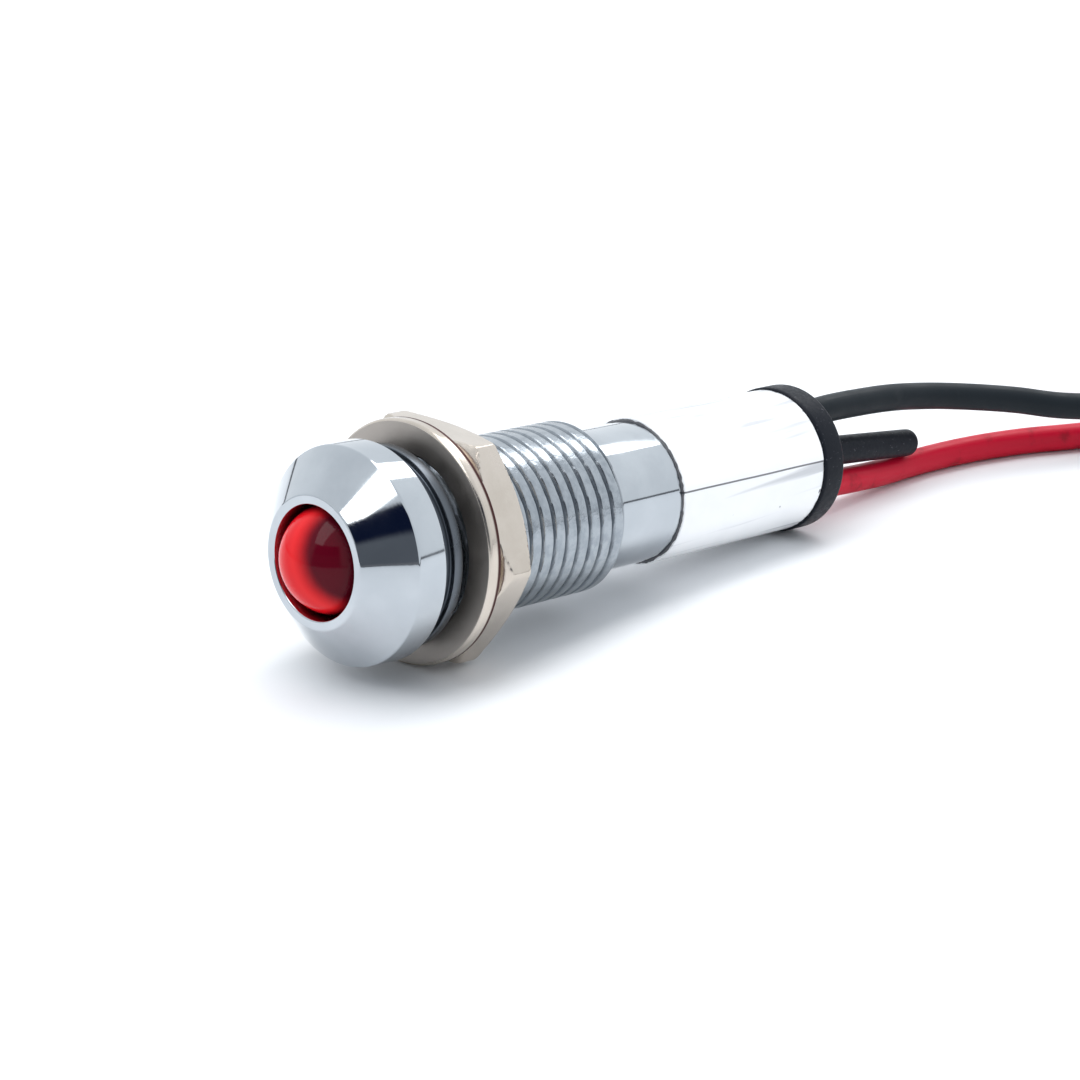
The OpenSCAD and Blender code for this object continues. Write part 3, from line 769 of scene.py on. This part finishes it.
def add_recess_shade_and_wear(obj):
    """Two values for the finish.

    "groove" is painted shade: it runs from 0 on the thread's crests to 1 in its roots, and is high in the
    groove behind the rim and on the shoulder. "worn" is 1 along the whole thread.
    """
    along, radius = polar(obj)
    on_thread = (along > RELIEF_REAR + 0.05) & (along < THREAD_REAR - 0.05) & (radius > TAIL_R)
    depth = np.where(on_thread, (THREAD_R - radius) / THREAD_DEPTH, 0.0)
    behind_rim = (along > RIM_REAR + 0.02) & (along < RELIEF_REAR) & (radius > RELIEF_R - 0.1)
    # Painted shade behind the rim: a little less on the shoulder than in the recesses either side of it
    shade = np.where(radius > GROOVE_R + 0.05, SHOULDER_SHADE, RECESS_SHADE)
    depth = np.where(behind_rim, shade, depth)
    add_value(obj, "groove", depth)
    add_value(obj, "worn", on_thread)


class PILOT_OT_bezel(bpy.types.Operator):
    """Makes the chromed body with its thread"""

    bl_idname = "pilot.bezel"
    bl_label = "Chromed body"

    def execute(self, context):
        build_bezel()
        return {"FINISHED"}


# -------- lamp

# Where the painted glow on the lamp fades out as the lamp goes into the body, and over how far
GLOW_REAR, GLOW_FADE = 0.6, 0.5


def lamp_profile():
    """Outline of the lamp: a dome that is part of a ball, then a straight body and a flange."""
    a = np.radians(np.linspace(0, 90, 26))
    dome = np.stack([DOME_CENTRE - LAMP_R * np.cos(a), LAMP_R * np.sin(a)], 1)
    body = [
        (DOME_CENTRE + 0.2, LAMP_R), (FLANGE_FRONT, LAMP_R), (FLANGE_FRONT, LAMP_FLANGE_R),
        (FLANGE_REAR, LAMP_FLANGE_R), (FLANGE_REAR, 0.0),
    ]
    return np.concatenate([dome, rounded(body, 0.06, 2)])


class PILOT_OT_lamp(bpy.types.Operator):
    """Makes the lamp's red domed body"""

    bl_idname = "pilot.lamp"
    bl_label = "Lamp"

    def execute(self, context):
        lens = add_grid("lamp_lens", [turned(lamp_profile(), 96)], sharp=35)
        # The open value lets the painted glow fade out towards the body
        add_value(lens, "open", (GLOW_REAR - polar(lens)[0]) / GLOW_FADE)
        dress(lens, red_epoxy(tuple(context.scene.pilot_body.lamp)), "lamp", ("led_lens",))
        return {"FINISHED"}


# -------- washer and nut

# The painted brown shade where washer and nut meet: its width on the washer's rim and over how far it
# deepens, the depth of a faint even tint on the rest of the washer, and the same two lengths on the nut
GAP_SHADE_WIDTH, GAP_SHADE_FADE, WASHER_TINT, NUT_GAP_SHADE_WIDTH, NUT_GAP_SHADE_FADE = 0.3, 0.08, 0.15, 0.1, 0.05
WASHER_RIM = 0.12
NUT_CHAMFER_R, NUT_SINK, NUT_FACE_R = 4.9, 0.3, 4.8


def build_washer():
    """Flat washer with bevelled edges, and rows on its rim where the painted shade deepens."""
    profile = rounded(
        [
            (WASHER_FRONT + 0.3, WASHER_HOLE_R), (WASHER_FRONT, WASHER_HOLE_R + 0.05),
            (WASHER_FRONT, WASHER_R - 0.1), (WASHER_FRONT + 0.12, WASHER_R),
            (WASHER_REAR - GAP_SHADE_WIDTH, WASHER_R), (WASHER_REAR - GAP_SHADE_WIDTH + GAP_SHADE_FADE, WASHER_R),
            (WASHER_REAR - 0.1, WASHER_R), (WASHER_REAR, WASHER_R - 0.1),
            (WASHER_REAR, WASHER_HOLE_R), (WASHER_FRONT + 0.3, WASHER_HOLE_R),
        ],
        0.06, 3,
    )
    washer = add_grid("washer", [turned(profile, 160)], sharp=30)
    along, radius = polar(washer)
    on_rim = radius > WASHER_R - WASHER_RIM
    deepening = (along - (WASHER_REAR - GAP_SHADE_WIDTH)) / GAP_SHADE_FADE
    # Painted shade deepening towards the rear of the rim, where the nut sits, and a faint tint on the rest
    add_value(washer, "stain", np.where(on_rim, deepening, WASHER_TINT))
    add_value(washer, "face", (along < WASHER_FRONT + 0.02) & (radius < WASHER_R - WASHER_RIM))
    dress(washer, nickel_plate(), "washer", ("flat_washer",))


def nut_grid():
    """Grid of the nut.

    Rows run from the bore over the front face, the side and the rear face back to the bore. The radius of
    the side is the distance to the nearest flat, limited by the two chamfer cones, which rise at 30
    degrees from a circle just inside the flats; corners and edges are slightly rounded. Columns crowd
    towards the corners, and rows of the side towards both faces.
    """
    across = np.linspace(-1, 1, 25)[:-1]
    within = np.sign(across) * (1 - (1 - np.abs(across)) ** 1.8) * 30.0
    angle = np.concatenate([60.0 * k + within for k in range(6)] + [[330.0]])
    angle = np.radians(angle)
    near_corner = np.radians(np.concatenate([np.tile(within, 6), [-30.0]]))
    flat = smooth_min(NUT_FLAT / np.cos(near_corner), NUT_FLAT / math.cos(math.pi / 6) - 0.03, 0.08)
    length = NUT_REAR - NUT_FRONT
    edge = np.array([0, 0.02, 0.05, 0.08, 0.12, 0.17, 0.23, 0.3, 0.38, 0.46, 0.54, 0.64, 0.78])
    side = np.concatenate([edge, length - edge[::-1]])
    cone = NUT_CHAMFER_R + np.minimum(side, length - side) / math.tan(math.radians(30))
    skin = smooth_min(cone[:, None], flat[None, :], 0.05)
    sink = NUT_BORE_R + NUT_SINK
    front = np.array([(0.5, NUT_BORE_R), (NUT_SINK, NUT_BORE_R), (0.0, sink), (0.0, sink + 0.03)])
    faces = np.linspace(sink + 0.1, NUT_FACE_R, 4)
    radius = np.concatenate(
        [
            np.repeat(front[:, 1:2], angle.size, 1),
            np.repeat(faces[:, None], angle.size, 1),
            skin,
            np.repeat(faces[::-1, None], angle.size, 1),
            np.repeat(front[::-1, 1:2], angle.size, 1),
            np.full((1, angle.size), NUT_BORE_R),
        ]
    )
    along = np.concatenate(
        [front[:, 0], np.zeros(4), side, np.full(4, length), length - front[::-1, 0], [0.5]]
    )
    turn = angle - math.radians(NUT_TURN)
    points = place(NUT_FRONT + along[:, None], radius * np.cos(turn), radius * np.sin(turn))
    points[:, -1] = points[:, 0]
    uv = np.stack(np.broadcast_arrays(turn[None, :] / (2 * math.pi), along[:, None]), -1)
    return points, uv


class PILOT_OT_fasteners(bpy.types.Operator):
    """Makes the washer and the hexagonal nut"""

    bl_idname = "pilot.fasteners"
    bl_label = "Washer and nut"

    def execute(self, context):
        build_washer()
        nut = add_grid("hexagon_nut", [nut_grid()], sharp=26)
        # Painted shade on the nut's front, where it meets the washer
        ahead = NUT_FRONT + NUT_GAP_SHADE_WIDTH - polar(nut)[0]
        add_value(nut, "stain", ahead / NUT_GAP_SHADE_FADE)
        dress(nut, nickel_plate(), "nut", ("panel_nut",))
        return {"FINISHED"}


# -------- label

# The paper's step at the seam in millimetres, the degrees past the seam over which it rises and eases back,
# and how wide and how strong the ragged shade of the rear end is
PAPER_STEP, STEP_RISE, STEP_FALL = 0.04, (-1.5, 0.5), (6, 24)
REAR_END_WIDTH, REAR_END_SHADE = 0.18, 0.36


def label_warp(along, radius, angle):
    """The label overlaps itself: its radius steps up by one thickness at the seam and eases back."""
    past = np.degrees(angle) - SEAM_TURN
    lap = smooth_step(*STEP_RISE, past) * (1 - smooth_step(*STEP_FALL, past))
    return radius + PAPER_STEP * lap * (radius > TAIL_R + 0.05)


class PILOT_OT_label(bpy.types.Operator):
    """Makes the plain label and its clear film"""

    bl_idname = "pilot.label"
    bl_label = "Label"

    def execute(self, context):
        front = LABEL_FRONT
        profile = [
            (front - FILM_LAP, TAIL_R), (front - FILM_LAP, TAIL_R + 0.03),
            (front - 0.02, TAIL_R + 0.035), (front + 0.01, FILM_R - 0.02),
            (front + 0.05, FILM_R), (front + 0.09, FILM_R), (front + 0.12, FILM_R),
        ]
        run = np.linspace(front + 0.3, TAIL_REAR - 0.22, 24)
        run = np.concatenate([run, [TAIL_REAR - 0.16, TAIL_REAR - 0.05]])
        profile += [(s, FILM_R) for s in run]
        profile += [(TAIL_REAR - 0.01, FILM_R - 0.02), (TAIL_REAR - 0.01, TAIL_R), profile[0]]
        label = add_grid("label", [turned(np.array(profile), 180, label_warp)], sharp=40)
        along = polar(label)[0]
        # The edge value says where shade is painted: all along the front cut edge, and partly at the rear
        # end
        rear_end = REAR_END_SHADE * (along > TAIL_REAR - REAR_END_WIDTH)
        add_value(label, "edge", np.where(along < front, 1.0, rear_end))
        dress(label, label_stock(), "lamp", ("label_wrap", "label_film"))
        return {"FINISHED"}


# -------- plug

# The dip round each lead and the tail's fillet and rounded end, in millimetres
DIP_DEPTH, DIP_R, DIP_OUTER_R = 0.3, 0.78, 0.95
FILLET_R, FILLET_LEN, PEG_END_R = 0.3, 0.36, 0.4


def plug_flange():
    """Grid of the flange and spigot: a turned shape whose rear face dips round each lead."""
    side = rounded(
        [
            (SPIGOT_FRONT, 0.0), (SPIGOT_FRONT, BORE_R - 0.02), (TAIL_REAR, BORE_R - 0.02),
            (TAIL_REAR, PLUG_R), (PLUG_REAR, PLUG_R), (PLUG_REAR, PLUG_R - 0.6),
        ],
        0.22, 5,
    )
    face = np.stack([np.full(44, PLUG_REAR), np.linspace(PLUG_R - 0.65, 0.0, 44)], 1)
    points, uv = turned(np.concatenate([side, face]), 144)
    rows = slice(len(side), None)
    offset = points[rows] - ORIGIN
    up, across = offset @ LIFT / MM, offset @ SIDE / MM
    away = np.minimum(np.hypot(up - LEAD_UP, across), np.hypot(up + LEAD_UP, across))
    dip = DIP_DEPTH * (1 - smooth_step(DIP_R, DIP_OUTER_R, away))
    points[rows] -= (dip * MM)[..., None] * AXIS
    return points, uv


def plug_tail():
    """Grid of the moulded tail: a slightly tapered round bar with a filleted root and a rounded end."""
    angle = np.arcsin(-AXIS[2]) + math.radians(TAIL_PEG_DROOP)
    way = np.array([math.cos(angle), 0.0, -math.sin(angle)])
    root = place(PLUG_REAR)
    a = np.linspace(0, math.pi / 2, 8)
    root_run = [-0.4, 0.0, 0.06, 0.14, 0.24, FILLET_LEN]
    end_at = TAIL_PEG_LEN - PEG_END_R
    end_run = end_at + PEG_END_R * np.sin(a[1:])
    run = np.concatenate([root_run, np.linspace(0.6, end_at, 30), end_run])
    body = TAIL_PEG_R + (TAIL_PEG_TIP_R - TAIL_PEG_R) * np.clip(run / TAIL_PEG_LEN, 0, 1)
    fillet = FILLET_R * np.clip(1 - run / FILLET_LEN, 0, 1) ** 2
    rounding = np.concatenate([np.zeros(len(run) - len(end_run)), PEG_END_R * (1 - np.cos(a[1:]))])
    radius = body + fillet - rounding
    return tube(root + MM * run[:, None] * way, radius * MM, 40)


class PILOT_OT_plug(bpy.types.Operator):
    """Makes the rear plug with its moulded tail"""

    bl_idname = "pilot.plug"
    bl_label = "Rear plug"

    def execute(self, context):
        plug = add_grid("plug", [plug_flange(), plug_tail()], sharp=35)
        dress(plug, black_moulding(), "lamp", ("rear_plug",))
        return {"FINISHED"}


# -------- parts inside

INSIDE = {
    "plated_frame": ("led_cathode_leg", "led_anode_leg"),
    "chip": ("led_chip",),
    "insulation": ("sleeve_anode", "sleeve_cathode"),
    "solder": ("solder_anode", "solder_cathode", "solder_red", "solder_black"),
    "resistor_lacquer": ("resistor_body",),
    "moulded_epoxy": ("diode_body",),
    "tinned_wire": (
        "resistor_wire_front", "resistor_wire_rear", "diode_wire_front", "diode_wire_rear",
        "lead_red_core", "lead_black_core",
    ),
}
# Two colours, the scale of the cloud between them, the roughness and how metallic
FINISHES = {
    "plated_frame": ((0.8, 0.8, 0.8), (0.88, 0.87, 0.84), 4000, 0.18, 1.0),
    "chip": ((0.75, 0.55, 0.12), (0.9, 0.75, 0.3), 9000, 0.3, 0.0),
    "insulation": ((0.8, 0.77, 0.66), (0.9, 0.88, 0.8), 5000, 0.7, 0.0),
    "solder": ((0.6, 0.61, 0.63), (0.75, 0.76, 0.78), 3500, 0.3, 1.0),
    "resistor_lacquer": ((0.6, 0.46, 0.28), (0.68, 0.54, 0.36), 3000, 0.3, 0.0),
    "moulded_epoxy": ((0.02, 0.02, 0.022), (0.05, 0.05, 0.055), 5000, 0.5, 0.0),
    "tinned_wire": ((0.65, 0.65, 0.66), (0.8, 0.8, 0.8), 4500, 0.25, 1.0),
}


class PILOT_OT_inside(bpy.types.Operator):
    """Gives the hidden electrical parts their finishes"""

    bl_idname = "pilot.inside"
    bl_label = "Parts inside"

    def execute(self, context):
        for slot, nodes in INSIDE.items():
            first, second, scale, roughness, metallic = FINISHES[slot]
            material = plain("inner_" + slot, first, second, scale, roughness, metallic)
            for node in nodes:
                part = frame["nodes"][node]
                part.data.materials.clear()
                part.data.materials.append(material)
        return {"FINISHED"}


# -------- stage


def stage_object(name, points, faces, material):
    mesh = bpy.data.meshes.new(name)
    mesh.from_pydata([tuple(p) for p in points], [], faces)
    obj = bpy.data.objects.new(name, mesh)
    bpy.context.scene.collection.objects.link(obj)
    obj.data.materials.append(material)
    return obj


def table_paint(colour):
    """Matt white table with a very faint cloud."""
    m = Material("table_paint")
    cloud = m.noise(m.place(), 40, detail=3)
    darker = tuple(0.985 * c for c in colour)
    m.set(Base_Color=m.mix(m.band(cloud, 0.3, 0.7), rgba(colour), rgba(darker)), Roughness=0.55)
    return m.data


def area_light(name, at, size, turn, power):
    """A level rectangular light that shines down, turned about the vertical by an angle in degrees."""
    light = bpy.data.lights.new(name, "AREA")
    light.shape = "RECTANGLE"
    light.size, light.size_y = size
    light.energy = power
    obj = bpy.data.objects.new(name, light)
    obj.location = at
    obj.rotation_euler = (0.0, 0.0, math.radians(turn))
    bpy.context.scene.collection.objects.link(obj)
    return obj


# The dark corner's heading in degrees and the cosine of its half width with the softness of its sides, and
# the heights where the corner ends, where it gets deeper and where the line at the horizon starts and ends
DARK_HEADING, DARK_COSINE, DARK_SOFT = 208.0, 0.86, 0.04
DARK_TOP, DEEPER_FROM = (0.655, 0.7), (0.34, 0.44)
HORIZON_LOW, HORIZON_HIGH = (-0.012, -0.002), (0.02, 0.035)
OVERHEAD_AT, OVERHEAD_SIZE, OVERHEAD_TURN = (0.06, 0.05, 0.5), (1.3, 0.22), 7.3


def build_world(strength):
    """Pale room with a dark corner on the camera's side and a thin dark line at the horizon.

    The height of a direction is the sine of its elevation. The corner holds the directions whose heading is
    within its half width of its own, up to a height where the room is pale again, and is darker high up.
    """
    world = Material.of_world("studio")
    direction = world.add("ShaderNodeTexCoord", output="Generated")
    height = world.add("ShaderNodeSeparateXYZ", {}, (direction,), "Z")
    heading = math.radians(DARK_HEADING)
    facing = world.add(
        "ShaderNodeVectorMath", {"operation": "DOT_PRODUCT"},
        (direction, (math.cos(heading), math.sin(heading), 0.0)), "Value",
    )
    horizon = world.band(height, *HORIZON_LOW) - world.band(height, *HORIZON_HIGH)
    below_top = world.band(height, *DARK_TOP, 1.0, 0.0)
    across = (1.0 - height * height) ** 0.5
    corner = world.band(facing - across * DARK_COSINE, -DARK_SOFT, DARK_SOFT) * below_top
    deep = world.band(height, *DEEPER_FROM)
    pale = world.mix(world.band(facing, -0.9, 0.3), rgba((1.12, 1.17, 1.22)), rgba((0.9, 0.95, 1.0)))
    shade = world.mix(deep, rgba((0.14, 0.155, 0.18)), rgba((0.006, 0.011, 0.035)))
    colour = world.mix(corner, pale, shade)
    colour = world.mix(horizon, colour, rgba((0.2, 0.21, 0.23)))
    world.set(Color=colour, Strength=strength)
    bpy.context.scene.world = world.data


CAMERA_AT = (-98.578 * MM, -91.178 * MM, 49.172 * MM)
CAMERA_HEADING, CAMERA_PITCH, CAMERA_LENS = 44.663, 19.388, 100.0


def build_camera():
    """Long lens that looks down on the light from the front left."""
    data = bpy.data.cameras.new("camera")
    data.sensor_fit = "HORIZONTAL"
    data.sensor_width = 36.0
    data.lens = CAMERA_LENS
    data.clip_start = 0.005
    data.clip_end = 20.0
    camera = bpy.data.objects.new("camera", data)
    camera.location = CAMERA_AT
    camera.rotation_euler = (math.radians(90 - CAMERA_PITCH), 0.0, math.radians(CAMERA_HEADING - 90))
    bpy.context.scene.collection.objects.link(camera)
    bpy.context.scene.camera = camera


class PILOT_OT_camera(bpy.types.Operator):
    """Sets up the camera"""

    bl_idname = "pilot.camera"
    bl_label = "Camera"

    def execute(self, context):
        build_camera()
        return {"FINISHED"}


class PILOT_OT_stage(bpy.types.Operator):
    """Makes the table, the lights and the room"""

    bl_idname = "pilot.stage"
    bl_label = "Stage"

    def execute(self, context):
        look = context.scene.pilot_stage
        half = look.table_size / 2
        corners = [(-half, -half, 0), (half, -half, 0), (half, half, 0), (-half, half, 0)]
        stage_object("table", corners, [(0, 1, 2, 3)], table_paint(tuple(look.table)))
        build_world(look.room)
        context.scene.view_settings.view_transform = "Standard"
        area_light("overhead", OVERHEAD_AT, OVERHEAD_SIZE, OVERHEAD_TURN, look.key)
        return {"FINISHED"}


# -------- settings and panel


def colour_setting(name, description, default):
    return bpy.props.FloatVectorProperty(
        name=name, description=description, subtype="COLOR", size=3, min=0.0, max=1.0, default=default
    )


class PilotLeads(bpy.types.PropertyGroup):
    """Colours of the leads"""

    red: colour_setting("Red lead", "Colour of the red insulation", (0.56, 0.006, 0.03))
    red_mark: colour_setting("Red mark", "Colour of marks on the red lead", (0.36, 0.006, 0.02))
    black: colour_setting("Black lead", "Colour of the black insulation", (0.006, 0.01, 0.014))
    black_mark: colour_setting("Black mark", "Colour of marks on the black lead", (0.012, 0.016, 0.02))


class PilotBody(bpy.types.PropertyGroup):
    """Colour of the lamp's painted glowing crescent"""

    # Shows only in the painted glowing crescent; the rest of the dome is a fixed deep red
    lamp: colour_setting("Lamp", "Colour of the lamp's epoxy", (0.74, 0.008, 0.014))


class PilotStage(bpy.types.PropertyGroup):
    """The table and the lights"""

    table: colour_setting("Table", "Colour of the table", (0.86, 0.87, 0.885))
    table_size: bpy.props.FloatProperty(
        name="Table size", description="Length of the table's side", subtype="DISTANCE", unit="LENGTH",
        min=0.3, max=5.0, default=1.6,
    )
    key: bpy.props.FloatProperty(
        name="Key light", description="Power of the large light", subtype="POWER", min=0.0, default=3.0
    )
    room: bpy.props.FloatProperty(
        name="Room light", description="Brightness of the room", min=0.0, default=1.0
    )


OPERATORS = (
    PILOT_OT_camera, PILOT_OT_leads, PILOT_OT_bezel, PILOT_OT_lamp, PILOT_OT_fasteners,
    PILOT_OT_label, PILOT_OT_plug, PILOT_OT_inside, PILOT_OT_stage,
)


class PILOT_PT_panel(bpy.types.Panel):
    """Lists the steps that build the pilot light"""

    bl_idname = "PILOT_PT_panel"
    bl_label = "Pilot Light"
    bl_space_type = "VIEW_3D"
    bl_region_type = "UI"
    bl_category = "Pilot Light"

    def draw(self, context):
        for group in ("pilot_leads", "pilot_body", "pilot_stage"):
            settings = getattr(context.scene, group)
            for name in settings.bl_rna.properties.keys():
                if name not in ("rna_type", "name"):
                    self.layout.prop(settings, name)
        for operator in OPERATORS:
            self.layout.operator(operator.bl_idname)


GROUPS = {"pilot_leads": PilotLeads, "pilot_body": PilotBody, "pilot_stage": PilotStage}
CLASSES = (*GROUPS.values(), *OPERATORS, PILOT_PT_panel)


def register():
    for item in CLASSES:
        bpy.utils.register_class(item)
    for name, group in GROUPS.items():
        setattr(bpy.types.Scene, name, bpy.props.PointerProperty(type=group))


def unregister():
    for name in GROUPS:
        delattr(bpy.types.Scene, name)
    for item in reversed(CLASSES):
        bpy.utils.unregister_class(item)


def main():
    register()
    for operator in OPERATORS:
        group, name = operator.bl_idname.split(".")
        getattr(getattr(bpy.ops, group), name)()


if __name__ == "__main__":
    main()
